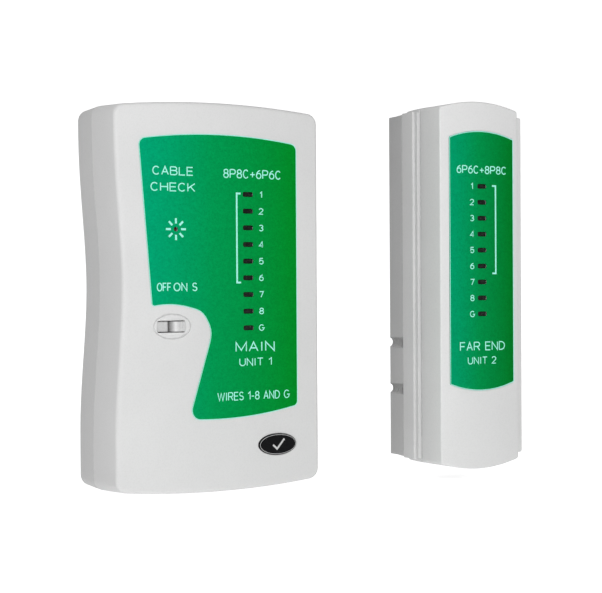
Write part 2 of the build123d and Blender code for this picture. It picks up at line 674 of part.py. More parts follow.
# ---- fasteners ----
def screws(places, face_y, head_at):
    """Self-tapping screws with a pan head and a cross recess, heads towards +Y."""
    parts = []
    for x, z in places:
        y = face_y + head_at
        head = peg(x, z, SCREW_HEAD_RADIUS, y, y + SCREW_HEAD_THICK)
        head = fillet(head.edges().sort_by(Axis.Y)[-1], 0.5)
        shank = peg(x, z, SCREW_RADIUS, y - SCREW_LENGTH, y)
        shank = chamfer(shank.edges().sort_by(Axis.Y)[0], 0.6)
        screw = head + shank
        for long_x, long_z in ((1.1, 0.25), (0.25, 1.1)):
            screw -= box((x - long_x, x + long_x), (y + 0.5, y + 3), (z - long_z, z + long_z))
        parts.append(screw)
    return parts


# ---- far-end unit ----
def remote_ridge(first, last, proud, reach, split_y):
    """One raised band along the left side, with a small chamfer at the split."""
    left = -REMOTE_WIDTH / 2
    band = box((left - proud, left + 3), (first, last), (-reach, reach))
    edges = [e for e in band.edges() if abs(e.center().Y - split_y) < 0.01 and e.center().X < left + 2.9]
    return chamfer(edges, PART_LINE)


def remote_local_front():
    """The front half, drawn about its own centre line with its back at y = 0."""
    y = -REMOTE_DEPTH
    split_y = y + REMOTE_SPLIT
    shell = round_face(remote_form(0, REMOTE_SPLIT, eased=True), y, REMOTE_EDGE_ROUND)
    for first, proud, inset in ((RIDGE_FIRST, RIDGE_STEP, RIDGE_INSET[0]),
                                (RIDGE_SECOND, 2 * RIDGE_STEP, RIDGE_INSET[1])):
        shell += remote_ridge(y + first, split_y, proud, REMOTE_CORNER - inset, split_y)
    left = -REMOTE_WIDTH / 2
    groove_width, groove_depth = RIDGE_GROOVE
    groove = (y + RIDGE_FIRST - groove_width, y + RIDGE_FIRST)
    shell -= box((left - 1, left + groove_depth), groove, (-BEYOND, BEYOND))
    shell -= remote_form(WALL, REMOTE_SPLIT + 0.1, WALL)
    shell += posts(REMOTE_POSTS, y + 1, split_y, POST_RADIUS)
    shell -= posts(REMOTE_POSTS, y + 4, split_y + 1, PILOT_RADIUS)
    shell -= slab(remote_label_face(0.1), y - 1, y + LABEL_SINK)
    for height in led_heights(REMOTE_LED_TOP):
        shell -= slot_solid(REMOTE_LED_X, height, *LED_WINDOW, y - 1, y + 4, 0.4)
    shell -= remote_jack_cuts()
    reach = RAIL_REACH + 0.1
    shell -= box((REMOTE_WIDTH / 2 - RAIL_SEAT, BEYOND), (y + 1.2, y + 7.2), (-reach, reach))
    return shell


def remote_jack_cuts():
    y = -REMOTE_DEPTH + BOARD_BACK + RJ45[1] / 2 + FIT
    cuts = []
    for size, low, high in ((RJ45, 30, BEYOND), (RJ11, -BEYOND, -30)):
        half = size[0] / 2 + SHIELD + 0.2
        cuts.append(box((-half, half), (y - size[1] / 2 - 0.2, y + size[1] / 2 + SHIELD + 0.2), (low, high)))
    return cuts


def notch_cuts(side_x, first, last):
    """Half-round notches across the back half's left side, each with thin grip ribs left in it."""
    rib_thick, rib_high = NOTCH_RIB
    centre_x = side_x - NOTCH_OUT
    cuts = []
    for height in NOTCHES:
        cuts.append(peg(centre_x, height, NOTCH_RADIUS - rib_high, first - 1, last + 1))
        start = first - 1.0
        while start < last:
            end = start + NOTCH_RIB_PITCH - rib_thick
            cuts.append(peg(centre_x, height, NOTCH_RADIUS, start, end))
            start += NOTCH_RIB_PITCH
    return cuts


def remote_local_back():
    """The back half: a little shorter, square-ended, with two half-round notches in its left side."""
    split_y = REMOTE_SPLIT - REMOTE_DEPTH
    left = -REMOTE_WIDTH / 2
    form = remote_form(REMOTE_SPLIT, REMOTE_DEPTH, shorter=REMOTE_BACK_SHORT, eased=True)
    reach = REMOTE_CORNER - RIDGE_INSET[1] - REMOTE_BACK_SHORT
    side = remote_ridge(split_y, 0, 2 * RIDGE_STEP, reach, split_y)
    shell = round_face(form + side, 0, REMOTE_BACK_ROUND)
    shell -= remote_form(REMOTE_SPLIT, REMOTE_DEPTH - WALL, WALL)
    shell -= remote_form(REMOTE_SPLIT - 1, REMOTE_SPLIT, WALL)
    shell += posts(REMOTE_POSTS, split_y, -0.6, 3.0)
    shell -= posts(REMOTE_POSTS, split_y - 1, 0, SCREW_RADIUS + 0.15)
    shell -= posts(REMOTE_POSTS, REMOTE_SCREW_SEAT - REMOTE_DEPTH, 1, COUNTERBORE_RADIUS)
    shell -= notch_cuts(left - 2 * RIDGE_STEP, split_y, 0)
    shell -= remote_jack_cuts()
    return shell


def remote_rail():
    """Thin rail seated in a groove along the right side."""
    y = -REMOTE_DEPTH
    right = REMOTE_WIDTH / 2
    rail = box((right - RAIL_SEAT, right + RAIL_PROUD), (y + 1.25, y + 7.15), (-RAIL_REACH, RAIL_REACH))
    return fillet(rail.edges().filter_by(Axis.Y).sort_by(Axis.X)[-2:], 0.6)


def remote_label_face(grow=0.0):
    left = -10.1 - grow
    right = 11.4 + grow
    high = 40.1 + grow
    low = -26.7 - grow
    middle = (left + right) / 2
    edges = [
        ThreePointArc(flat_point(left, high), flat_point(middle, high + 1.95), flat_point(right, high)),
        Line(flat_point(right, high), flat_point(right, low)),
        ThreePointArc(flat_point(right, low), flat_point(middle, low - 2.0), flat_point(left, low)),
        Line(flat_point(left, low), flat_point(left, high)),
    ]
    face = make_face(Wire(edges))
    return Plane.XZ * fillet(face.vertices(), 0.5)


def remote_label():
    y = REMOTE_FACE + LABEL_SINK
    label = Pos(REMOTE_X, 0, 0) * slab(remote_label_face(), y - LABEL_THICK, y)
    for height in led_heights(REMOTE_LED_TOP):
        label -= slot_solid(REMOTE_X + REMOTE_LED_X, height, *LABEL_WINDOW, y - 1, y + 1, 0.45)
    return label


def at_remote(part):
    """Move a part that was drawn about the far-end unit's own centre line to its parted place."""
    return Pos(REMOTE_X, REMOTE_FACE + REMOTE_DEPTH, 0) * part


def save_remote(part, node):
    """Write a node of the far-end unit at its parted height."""
    parts = part if isinstance(part, list) else [part]
    save([Pos(0, 0, REMOTE_LIFT) * piece for piece in parts], node)


def remote_places(places):
    return [(REMOTE_X + x, z) for x, z in places]


# ---- build and write every node ----
def build_main():
    save(main_front_shell(), "main_front_shell")
    save(main_back_shell(), "main_back_shell")
    save(battery_door(), "battery_door")
    save(main_label(), "main_label")
    save(badge(), "badge")
    save(main_pcb(), "main_pcb")
    save(led_row(MAIN_LED_X, MAIN_LED_TOP, MAIN_FACE), "main_led_row")
    save(power_led(), "power_led")
    save(switch_frame(), "switch_frame")
    save(switch_base(), "switch_base")
    save(switch_pins(), "switch_pins")
    save(switch_knob(), "switch_knob")


def build_main_jacks():
    y = JACK_Y
    for name, size, mouth, count, x in (
            ("main_rj45", RJ45, RJ45_MOUTH, 8, RJ45_X), ("main_rj11", RJ11, RJ11_MOUTH, 6, RJ11_X)):
        save(place_all([jack_housing(size, mouth, 1)], x, y, JACK_TOP), name + "_housing")
        save(place_all(jack_contacts(count, mouth, 1), x, y, JACK_TOP), name + "_contacts")
    save(place_all([jack_shield(RJ45)], RJ45_X, y, JACK_TOP), "main_rj45_shield")


def build_main_electronics():
    y = MAIN_FACE + BOARD_BACK
    save(chip(-4.0, 22.0, 4, y), "timer_chip")
    save(chip(2.0, 7.0, 8, y), "counter_chip")
    rows = [(MAIN_LED_X - 7.0, h) for h in led_heights(MAIN_LED_TOP)]
    save(chip_resistors(rows, MAIN_FACE + BOARD_FRONT, -1), "main_resistors")
    save(main_capacitors(), "main_capacitors")


def build_battery():
    save(battery_can(), "battery_can")
    save(battery_cells(), "battery_cells")
    save(battery_terminals(), "battery_terminals")
    save(battery_snap(), "battery_snap")
    save(battery_lead(0.0, 0.0), "battery_lead_red")
    save(battery_lead(1.5, 1.6), "battery_lead_black")
    save(battery_foam(), "battery_foam")
    save(screws(MAIN_POSTS, MAIN_FACE, SCREW_SEAT), "main_screws")


def build_remote():
    save_remote(at_remote(remote_local_front()), "remote_front_shell")
    save_remote(at_remote(remote_local_back()), "remote_back_shell")
    save_remote(at_remote(remote_rail()), "remote_side_rail")
    save_remote(remote_label(), "remote_label")
    holes = remote_places(REMOTE_POSTS)
    low = REMOTE_X - 10.6
    high = REMOTE_X + 10.6
    save_remote(board(low, high, -46.0, 46.0, REMOTE_FACE, holes), "remote_pcb")
    save_remote(led_row(REMOTE_X + REMOTE_LED_X, REMOTE_LED_TOP, REMOTE_FACE), "remote_led_row")
    y = REMOTE_FACE + BOARD_BACK + RJ45[1] / 2 + FIT
    save_remote(place_all([jack_housing(RJ45, RJ45_MOUTH, 1)], REMOTE_X, y, JACK_TOP), "remote_rj45_housing")
    save_remote(place_all(jack_contacts(8, RJ45_MOUTH, 1), REMOTE_X, y, JACK_TOP), "remote_rj45_contacts")
    save_remote(place_all([jack_shield(RJ45)], REMOTE_X, y, JACK_TOP), "remote_rj45_shield")
    save_remote(place_all([jack_housing(RJ11, RJ11_MOUTH, -1)], REMOTE_X, y, -JACK_TOP), "remote_rj11_housing")
    save_remote(place_all(jack_contacts(6, RJ11_MOUTH, -1), REMOTE_X, y, -JACK_TOP), "remote_rj11_contacts")
    save_remote(remote_diodes(), "remote_diodes")
    rows = [(REMOTE_X - 6.0, h) for h in led_heights(REMOTE_LED_TOP)]
    save_remote(chip_resistors(rows, REMOTE_FACE + BOARD_FRONT, -1), "remote_resistors")
    save_remote(screws(holes, REMOTE_FACE, REMOTE_SCREW_SEAT), "remote_screws")


build_main()
build_main_jacks()
build_main_electronics()
build_battery()
build_remote()
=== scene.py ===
import math

import bmesh
import bpy
from mathutils import Euler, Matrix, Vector


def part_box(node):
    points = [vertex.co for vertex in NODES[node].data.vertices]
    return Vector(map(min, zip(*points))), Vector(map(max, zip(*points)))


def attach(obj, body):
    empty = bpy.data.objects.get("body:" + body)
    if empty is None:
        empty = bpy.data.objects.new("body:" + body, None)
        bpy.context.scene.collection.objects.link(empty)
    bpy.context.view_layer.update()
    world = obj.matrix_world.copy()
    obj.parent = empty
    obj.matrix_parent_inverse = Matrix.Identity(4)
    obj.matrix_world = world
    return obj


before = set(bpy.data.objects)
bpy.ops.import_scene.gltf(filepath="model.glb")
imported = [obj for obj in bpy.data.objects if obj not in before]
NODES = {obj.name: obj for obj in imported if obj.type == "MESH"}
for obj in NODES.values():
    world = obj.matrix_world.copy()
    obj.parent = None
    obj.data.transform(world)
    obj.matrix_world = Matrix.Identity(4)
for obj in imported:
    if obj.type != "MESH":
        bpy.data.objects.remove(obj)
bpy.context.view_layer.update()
MM = 0.001

# ---- where things are, read from the frame ----
MAIN_LOW, MAIN_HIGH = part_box("main_front_shell")
REMOTE_LOW, REMOTE_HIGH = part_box("remote_label")
MAIN_LABEL_LOW, MAIN_LABEL_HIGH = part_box("main_label")
LED_LOW, LED_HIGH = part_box("main_led_row")
REMOTE_LED_LOW, REMOTE_LED_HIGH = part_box("remote_led_row")
POWER_LOW, POWER_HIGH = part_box("power_led")
BADGE_LOW, BADGE_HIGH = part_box("badge")
FLOOR_Z = min(MAIN_LOW.z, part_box("remote_front_shell")[0].z)

LED_COUNT = 9
LED_FOOT_HEIGHT = 1.6 * MM
KNOB_WIDTH = 4.1 * MM            # the knob's cap, in the middle of its sliding apron
PRINT_LIFT = 0.012 * MM          # printing stands this far proud of the film
PRINT_THICK = 0.02 * MM
STROKE_STEP = 0.003 * MM         # strokes that cross in one letter lie this far apart in depth
FLOOR_GLOW = 0.34                # the pale floor is lit a little from within, as a light table is
FLOOR_SEEN = 0.80                # and looks brighter to the camera, so that its shadows stay faint


# ---- node-tree helpers ----
class Tree:
    """A material's node tree with short calls for what the materials below share."""

    def __init__(self, name):
        self.material = bpy.data.materials.new(name)
        self.material.use_nodes = True
        self.nodes = self.material.node_tree.nodes
        self.links = self.material.node_tree.links
        self.shader = self.nodes["Principled BSDF"]
        self.place = self.nodes.new("ShaderNodeTexCoord").outputs["Object"]

    def set(self, **values):
        for name, value in values.items():
            self.shader.inputs[name.replace("_", " ")].default_value = value

    def link(self, source, target):
        self.links.new(source, target)

    def noise(self, scale, detail=3.0, roughness=0.55, stretch=None):
        node = self.nodes.new("ShaderNodeTexNoise")
        node.inputs["Scale"].default_value = scale
        node.inputs["Detail"].default_value = detail
        node.inputs["Roughness"].default_value = roughness
        source = self.place
        if stretch:
            mapping = self.nodes.new("ShaderNodeMapping")
            mapping.inputs["Scale"].default_value = stretch
            self.link(self.place, mapping.inputs["Vector"])
            source = mapping.outputs["Vector"]
        self.link(source, node.inputs["Vector"])
        return node.outputs["Fac"]

    def cells(self, scale, feature="F1"):
        node = self.nodes.new("ShaderNodeTexVoronoi")
        node.feature = feature
        node.inputs["Scale"].default_value = scale
        self.link(self.place, node.inputs["Vector"])
        return node.outputs["Distance"]

    def ramp(self, source, stops):
        """A value turned into a colour or level: stops are (position, colour) pairs."""
        node = self.nodes.new("ShaderNodeValToRGB")
        band = node.color_ramp
        while len(band.elements) < len(stops):
            band.elements.new(0.5)
        for element, (position, colour) in zip(band.elements, stops):
            element.position = position
            element.color = tone(colour)
        self.link(source, node.inputs["Fac"])
        return node.outputs["Color"]

    def span(self, source, low, high, to_low, to_high):
        node = self.nodes.new("ShaderNodeMapRange")
        values = (low, high, to_low, to_high)
        for name, value in zip(("From Min", "From Max", "To Min", "To Max"), values):
            node.inputs[name].default_value = value
        self.link(source, node.inputs["Value"])
        return node.outputs["Result"]

    def mix(self, share, first, second, kind="MIX"):
        node = self.nodes.new("ShaderNodeMix")
        node.data_type = "RGBA"
        node.blend_type = kind
        for name, value in ((0, share), (6, first), (7, second)):
            if hasattr(value, "links"):
                self.link(value, node.inputs[name])
            elif name == 0:
                node.inputs[name].default_value = value
            else:
                node.inputs[name].default_value = tone(value)
        return node.outputs[2]

    def math(self, kind, first, second):
        node = self.nodes.new("ShaderNodeMath")
        node.operation = kind
        for index, value in enumerate((first, second)):
            if hasattr(value, "links"):
                self.link(value, node.inputs[index])
            else:
                node.inputs[index].default_value = value
        return node.outputs["Value"]

    def axis(self, name):
        node = self.nodes.new("ShaderNodeSeparateXYZ")
        self.link(self.place, node.inputs["Vector"])
        return node.outputs[name]

    def worn_edge(self, radius=0.5 * MM):
        """A value that rises on sharp edges, broken up by noise."""
        bevel = self.nodes.new("ShaderNodeBevel")
        bevel.samples = 4
        bevel.inputs["Radius"].default_value = radius
        geometry = self.nodes.new("ShaderNodeNewGeometry")
        dot = self.nodes.new("ShaderNodeVectorMath")
        dot.operation = "DOT_PRODUCT"
        self.link(bevel.outputs["Normal"], dot.inputs[0])
        self.link(geometry.outputs["Normal"], dot.inputs[1])
        edge = self.span(dot.outputs["Value"], 1.0, 0.86, 0.0, 1.0)
        broken = self.span(self.noise(900.0, 2.0), 0.42, 0.62, 0.0, 1.0)
        return self.math("MULTIPLY", edge, broken)

    def bump(self, height, strength, distance, soft_edge=0.0):
        node = self.nodes.new("ShaderNodeBump")
        node.inputs["Strength"].default_value = strength
        node.inputs["Distance"].default_value = distance
        self.link(height, node.inputs["Height"])
        if soft_edge:
            bevel = self.nodes.new("ShaderNodeBevel")
            bevel.samples = 4
            bevel.inputs["Radius"].default_value = soft_edge
            self.link(bevel.outputs["Normal"], node.inputs["Normal"])
        self.link(node.outputs["Normal"], self.shader.inputs["Normal"])

    def colour(self, source):
        self.link(source, self.shader.inputs["Base Color"])

    def rough(self, source):
        self.link(source, self.shader.inputs["Roughness"])


def tone(value):
    """A grey level or an (r, g, b) as a colour with alpha."""
    if isinstance(value, (int, float)):
        return (value, value, value, 1.0)
    return (value[0], value[1], value[2], 1.0)


# ---- materials ----
def case_plastic(name, level, low, high, across=0.0, back=0.0):
    """Light grey moulded plastic: spark texture, flow marks, worn edges.

    It has painted shade: it is a little darker towards its right side and its back, by the shares across and
    back."""
    t = Tree(name)
    light = (level, level, level)
    shade = [c * 0.965 for c in light]
    flow = t.ramp(t.noise(38.0, 4.0), [(0.35, shade), (0.65, light)])
    speck = t.ramp(t.noise(2600.0, 2.0), [(0.30, 0.90), (0.55, 1.0)])
    body = t.mix(0.35, flow, speck, "MULTIPLY")
    body = t.mix(t.worn_edge(), body, [min(1.0, c * 1.10) for c in light])
    # painted shade: darker towards the right side and towards the back
    painted_shade = t.math("MULTIPLY", t.span(t.axis("X"), low.x, high.x, 1.0, 1.0 - across),
                  t.span(t.axis("Y"), low.y, high.y, 1.0, 1.0 - back))
    t.colour(t.mix(1.0, body, painted_shade, "MULTIPLY"))
    t.rough(t.span(t.noise(1500.0, 3.0), 0.3, 0.7, 0.42, 0.58))
    grain = t.math("ADD", t.noise(5200.0, 2.0), t.math("MULTIPLY", t.noise(1300.0, 2.0), 0.8))
    t.bump(grain, 0.14, 0.02 * MM, soft_edge=0.15 * MM)
    t.set(Specular_IOR_Level=0.30)
    return t.material


def knob_plastic(name, low, high):
    """White moulded plastic with painted shade on its left flank, darkest near the flank's foot, and a
    painted highlight where the flank rounds into the cap.

    Whether the flank is dirty or only in shadow there can't be told, so this shade is a guess.
    """
    t = Tree(name)
    left = (low.x + high.x - KNOB_WIDTH) / 2
    across = t.span(t.axis("X"), left - 0.1 * MM, left + KNOB_WIDTH, 0.0, 1.0)
    # painted shade across the left flank, a painted highlight near its top, then the cap's even level
    shade = t.ramp(across, [(0.0, 0.66), (0.02, 0.32), (0.17, 0.56), (0.32, 0.88), (0.44, 0.75)])
    speck = t.ramp(t.noise(2200.0, 3.0), [(0.30, 0.90), (0.60, 1.0)])
    t.colour(t.mix(1.0, shade, speck, "MULTIPLY"))
    t.rough(t.span(t.noise(1500.0, 3.0), 0.3, 0.7, 0.40, 0.56))
    t.bump(t.noise(4200.0), 0.12, 0.02 * MM)
    t.set(Specular_IOR_Level=0.30)
    return t.material


def label_film(name, low, high, left, middle, right):
    """Green printed film: shifts from blue-green at its left to leaf green at its right, with print grain."""
    t = Tree(name)
    across = t.span(t.axis("X"), low.x, high.x, 0.0, 1.0)
    base = t.ramp(across, [(0.0, left), (0.45, middle), (1.0, right)])
    coarse = t.ramp(t.noise(1500.0, 3.0, 0.7), [(0.30, 0.86), (0.70, 1.09)])
    fine = t.ramp(t.cells(2600.0), [(0.0, 0.86), (0.6, 1.03)])
    t.colour(t.mix(1.0, t.mix(1.0, base, coarse, "MULTIPLY"), fine, "MULTIPLY"))
    t.rough(t.span(t.noise(700.0, 3.0), 0.3, 0.7, 0.34, 0.46))
    t.bump(t.noise(3800.0, 2.0), 0.10, 0.01 * MM)
    t.set(Specular_IOR_Level=0.02)
    return t.material


def print_ink(name="print_ink"):
    """Pale mint screen print with slightly uneven cover."""
    t = Tree(name)
    cover = t.ramp(t.noise(2400.0, 3.0), [(0.30, (0.30, 0.92, 0.74)), (0.62, (0.42, 1.0, 0.88))])
    t.colour(cover)
    t.rough(t.span(t.noise(900.0), 0.3, 0.7, 0.40, 0.55))
    t.bump(t.noise(4200.0), 0.10, 0.005 * MM)
    return t.material


def badge_ink(name="badge_ink"):
    """Pale grey for the rim round the badge and the print on it."""
    t = Tree(name)
    t.colour(t.ramp(t.noise(2400.0, 3.0), [(0.30, 0.52), (0.62, 0.66)]))
    t.rough(t.span(t.noise(900.0), 0.3, 0.7, 0.40, 0.55))
    t.bump(t.noise(4200.0), 0.10, 0.005 * MM)
    return t.material


def led_lens(name="led_lens", colour=(0.008, 0.009, 0.007)):
    """Dark diffused lens with a faint cloud in it."""
    t = Tree(name)
    brighter = [c * 3.0 + 0.006 for c in colour]
    t.colour(t.ramp(t.noise(1700.0, 4.0), [(0.42, colour), (0.75, brighter)]))
    t.rough(t.span(t.noise(900.0), 0.3, 0.7, 0.12, 0.30))
    t.bump(t.noise(1300.0), 0.18, 0.03 * MM)
    t.set(Specular_IOR_Level=0.22)
    return t.material


def badge_resin(name="badge_resin"):
    """Black print under a clear domed resin with a few dust motes."""
    t = Tree(name)
    motes = t.ramp(t.noise(5200.0, 2.0), [(0.70, (0.004, 0.004, 0.005)), (0.80, (0.05, 0.05, 0.05))])
    t.colour(motes)
    t.rough(t.span(t.noise(260.0), 0.3, 0.7, 0.10, 0.20))
    t.bump(t.noise(420.0), 0.10, 0.03 * MM)
    t.set(Specular_IOR_Level=0.10)
    return t.material


def black_plastic(name, level=0.018, low=0.34, high=0.52):
    """Dark glass-filled plastic with a fibrous grain."""
    t = Tree(name)
    fibres = t.noise(2600.0, 4.0, 0.6, stretch=(1.0, 1.0, 0.18))
    t.colour(t.ramp(fibres, [(0.35, level * 0.7), (0.70, level * 2.2)]))
    t.rough(t.span(fibres, 0.3, 0.7, low, high))
    t.bump(fibres, 0.20, 0.02 * MM, soft_edge=0.08 * MM)
    return t.material


def plated_metal(name, colour, low, high, stretch=(1.0, 1.0, 0.06)):
    """Rolled or plated metal with fine draw lines and tarnish."""
    t = Tree(name)
    lines = t.noise(3200.0, 3.0, 0.6, stretch=stretch)
    tarnish = t.noise(220.0, 4.0)
    dull = [c * 0.72 for c in colour]
    t.colour(t.ramp(tarnish, [(0.38, dull), (0.62, colour)]))
    t.rough(t.span(lines, 0.3, 0.7, low, high))
    t.bump(lines, 0.12, 0.01 * MM, soft_edge=0.06 * MM)
    t.set(Metallic=1.0)
    return t.material


def board_mask(name="board_mask"):
    """Green solder mask with darker copper runs showing through."""
    t = Tree(name)
    tracks = [(0.05, (0.010, 0.100, 0.030)), (0.09, (0.016, 0.170, 0.050))]
    runs = t.ramp(t.cells(260.0, "DISTANCE_TO_EDGE"), tracks)
    speck = t.ramp(t.noise(2200.0), [(0.35, 0.85), (0.65, 1.0)])
    t.colour(t.mix(1.0, runs, speck, "MULTIPLY"))
    t.rough(t.span(t.noise(600.0), 0.3, 0.7, 0.22, 0.38))
    t.bump(t.cells(260.0, "DISTANCE_TO_EDGE"), 0.25, 0.02 * MM)
    return t.material


def sleeve(name, colour, low=0.30, high=0.45, scale=900.0):
    """Soft vinyl or printed sleeve with light scuffing."""
    t = Tree(name)
    pale = [min(1.0, c * 1.35 + 0.01) for c in colour]
    t.colour(t.ramp(t.noise(scale, 4.0), [(0.38, colour), (0.72, pale)]))
    t.rough(t.span(t.noise(scale * 0.6), 0.3, 0.7, low, high))
    t.bump(t.noise(scale * 2.2), 0.15, 0.02 * MM)
    return t.material


def diode_glass(name="diode_glass"):
    t = Tree(name)
    banded = t.ramp(t.noise(900.0, 3.0, 0.5, stretch=(3.0, 0.2, 0.2)),
                    [(0.35, (0.42, 0.10, 0.03)), (0.7, (0.62, 0.24, 0.08))])
    t.colour(banded)
    t.rough(t.span(t.noise(500.0), 0.3, 0.7, 0.06, 0.16))
    t.bump(t.noise(800.0), 0.1, 0.02 * MM)
    t.set(Coat_Weight=0.8, Coat_Roughness=0.05)
    return t.material


def foam_pad(name="foam_pad"):
    t = Tree(name)
    pores = t.cells(1500.0)
    t.colour(t.ramp(pores, [(0.10, 0.012), (0.60, 0.075)]))
    t.rough(t.span(pores, 0.0, 1.0, 0.85, 0.98))
    t.bump(pores, 0.8, 0.2 * MM)
    return t.material


def floor_paper(name="floor_paper"):
    t = Tree(name)
    t.colour(t.ramp(t.noise(60.0, 4.0), [(0.3, 0.90), (0.7, 0.92)]))
    t.set(Emission_Color=tone(1.0))
    path = t.nodes.new("ShaderNodeLightPath")
    glow = t.span(path.outputs["Is Camera Ray"], 0.0, 1.0, FLOOR_GLOW, FLOOR_SEEN)
    t.link(glow, t.shader.inputs["Emission Strength"])
    t.rough(t.span(t.noise(40.0), 0.3, 0.7, 0.62, 0.72))
    t.bump(t.noise(900.0), 0.05, 0.1 * MM)
    return t.material


def paint(material, *names):
    """Give CAD nodes a material in every slot they have."""
    for name in names:
        data = NODES[name].data
        if not data.materials:
            data.materials.append(material)
        for index in range(len(data.materials)):
            data.materials[index] = material


def paint_all():
    remote_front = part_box("remote_front_shell")
    remote_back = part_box("remote_back_shell")
    main_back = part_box("main_back_shell")
    # The back shells' levels below the fronts', and the fades across and back, are painted shade.
    paint(case_plastic("main_case_front", 0.80, MAIN_LOW, MAIN_HIGH, 0.10, 0.08), "main_front_shell")
    paint(case_plastic("main_case_back", 0.65, *main_back, 0.0, 0.04), "main_back_shell", "battery_door")
    paint(case_plastic("remote_case_front", 0.84, *remote_front, 0.14, 0.24),
          "remote_front_shell", "remote_side_rail")
    paint(case_plastic("remote_case_back", 0.50, *remote_back, 0.0, 0.08), "remote_back_shell")
    paint(knob_plastic("knob_plastic", *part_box("switch_knob")), "switch_knob")
    paint(label_film("main_film", MAIN_LABEL_LOW, MAIN_LABEL_HIGH, (0.0, 0.395, 0.190), (0.0, 0.325, 0.085),
                     (0.0, 0.262, 0.018)), "main_label")
    paint(label_film("remote_film", REMOTE_LOW, REMOTE_HIGH, (0.0, 0.350, 0.155), (0.0, 0.285, 0.070),
                     (0.0, 0.190, 0.016)), "remote_label")
    paint(led_lens(), "main_led_row", "remote_led_row")
    paint(led_lens("led_red", (0.05, 0.010, 0.010)), "power_led")
    paint(badge_resin(), "badge")
    paint(board_mask(), "main_pcb", "remote_pcb")
    paint(black_plastic("jack_plastic"), "main_rj45_housing", "main_rj11_housing",
          "remote_rj45_housing", "remote_rj11_housing")
    paint(black_plastic("chip_epoxy", 0.022, 0.45, 0.62), "timer_chip", "counter_chip")
    paint(black_plastic("resistor_glaze", 0.03, 0.2, 0.35), "main_resistors", "remote_resistors")
    paint(black_plastic("snap_vinyl", 0.02, 0.4, 0.6), "battery_snap")
    paint(plated_metal("sheet_steel", (0.62, 0.62, 0.60), 0.22, 0.40), "switch_frame",
          "main_rj45_shield", "remote_rj45_shield")
    paint(plated_metal("tinned", (0.70, 0.70, 0.67), 0.20, 0.36), "switch_pins", "battery_terminals")
    paint(plated_metal("gold_flash", (0.86, 0.58, 0.20), 0.14, 0.26), "main_rj45_contacts",
          "main_rj11_contacts", "remote_rj45_contacts", "remote_rj11_contacts")
    paint(plated_metal("screw_plate", (0.58, 0.58, 0.58), 0.18, 0.34, (1.0, 0.1, 1.0)),
          "main_screws", "remote_screws")
    paint(sleeve("phenolic", (0.16, 0.075, 0.035), 0.5, 0.7, 1800.0), "switch_base")
    paint(sleeve("capacitor_sleeve", (0.03, 0.035, 0.09)), "main_capacitors")
    paint(sleeve("battery_jacket", (0.045, 0.05, 0.06), 0.22, 0.35, 300.0), "battery_can")
    paint(sleeve("cell_wrap", (0.16, 0.17, 0.19)), "battery_cells")
    paint(sleeve("wire_red", (0.42, 0.012, 0.012)), "battery_lead_red")
    paint(sleeve("wire_black", (0.012, 0.012, 0.012)), "battery_lead_black")
    paint(diode_glass(), "remote_diodes")
    paint(foam_pad(), "battery_foam")


# ---- printing on the labels ----
INK = print_ink()
RULE_LINE = 0.46 * MM            # stroke of the brackets
BRACKET_TICK = 1.15 * MM
BRACKET_ABOVE = 0.20 * MM        # the bracket starts this far above the middle of LED 1
SHARPEST_MITRE = 0.42            # a line's corners reach out no further than this allows
SHARPEST_CORNER = 0.35           # and the same for an outline drawn inwards
BORDER_LINE = 0.20 * MM
BORDER_INSET = 0.10 * MM
SUN_RAYS = 8
SUN_REACH = (1.42 * MM, 2.78 * MM)
SUN_LINE = 0.54 * MM
RIM_INSET = 0.28 * MM            # the pale rim round the badge
RIM_LINE = 0.10 * MM
RIM_STEPS = 72
TICK_LINE = 0.50 * MM
TICK_POINTS = ((-1.5, -0.1), (-0.3, -1.2), (1.9, 1.35))   # millimetres from the badge's middle
LETTER_GAP = 0.26                # between letters, as a share of their height

MARKS = "12345678G"              # what stands beside the nine LEDs
MARK_WIDTHS = {"1": 0.70, "G": 1.65}
MARK_HEIGHT = 1.72 * MM
MARK_LINE = 0.25 * MM

MAIN_MARKS_ACROSS = 41.25 * MM   # from the main unit's left side
MAIN_BRACKET_ACROSS = 34.10 * MM
MAIN_BRACKET_BELOW = 1.20 * MM   # it ends this far below the middle of LED 6
REMOTE_MARKS_ACROSS = -3.35 * MM   # from the middle of the far-end unit's LEDs
REMOTE_BRACKET_ACROSS = 4.60 * MM
REMOTE_BRACKET_BELOW = 2.00 * MM

# The numbers in both tables of words were measured in the photo by a helper program, as were the
# places of the marks and brackets above. They aren't worked out from the frame as they should be.
# Each row: name, text, place across, height, width, letter height and stroke, all in millimetres.
# The main unit's places count from its left side and its middle height.
MAIN_WORDS = (
    ("title_tool_top", "CABLE", 15.96, 32.3, 11.4, 2.28, 0.29),
    ("title_tool_low", "CHECK", 15.97, 28.2, 12.5, 2.28, 0.29),
    ("title_ports", "8P8C+6P6C", 38.8, 32.1, 17.1, 2.40, 0.29),
    ("legend_off", "OFF", 13.3, 2.8, 4.05, 2.22, 0.29),
    ("legend_on", "ON", 17.85, 2.8, 3.9, 2.22, 0.29),
    ("legend_slow", "S", 21.9, 2.8, 1.45, 2.22, 0.29),
    ("title_unit", "MAIN", 39.3, -12.9, 11.6, 2.65, 0.32),
    ("title_part", "UNIT 1", 39.4, -16.9, 9.6, 2.10, 0.26),
    ("title_wires", "WIRES 1-8 AND G", 38.85, -25.7, 21.4, 2.25, 0.26),
)
# The far-end unit's count from the middle of its LEDs.
REMOTE_WORDS = (
    ("remote_title_ports", "6P6C+8P8C", 0.0, 21.9, 16.8, 2.25, 0.29),
    ("remote_title_unit", "FAR END", 0.0, -26.2, 15.2, 2.45, 0.29),
    ("remote_title_part", "UNIT 2", -0.2, -30.1, 9.6, 2.05, 0.26),
)


def arc(centre_x, centre_z, reach_x, reach_z, start, end, steps=9):
    """Points of an elliptical arc; angles in degrees, anticlockwise from +X."""
    angles = [math.radians(start + (end - start) * i / steps) for i in range(steps + 1)]
    return [(centre_x + reach_x * math.cos(a), centre_z + reach_z * math.sin(a)) for a in angles]


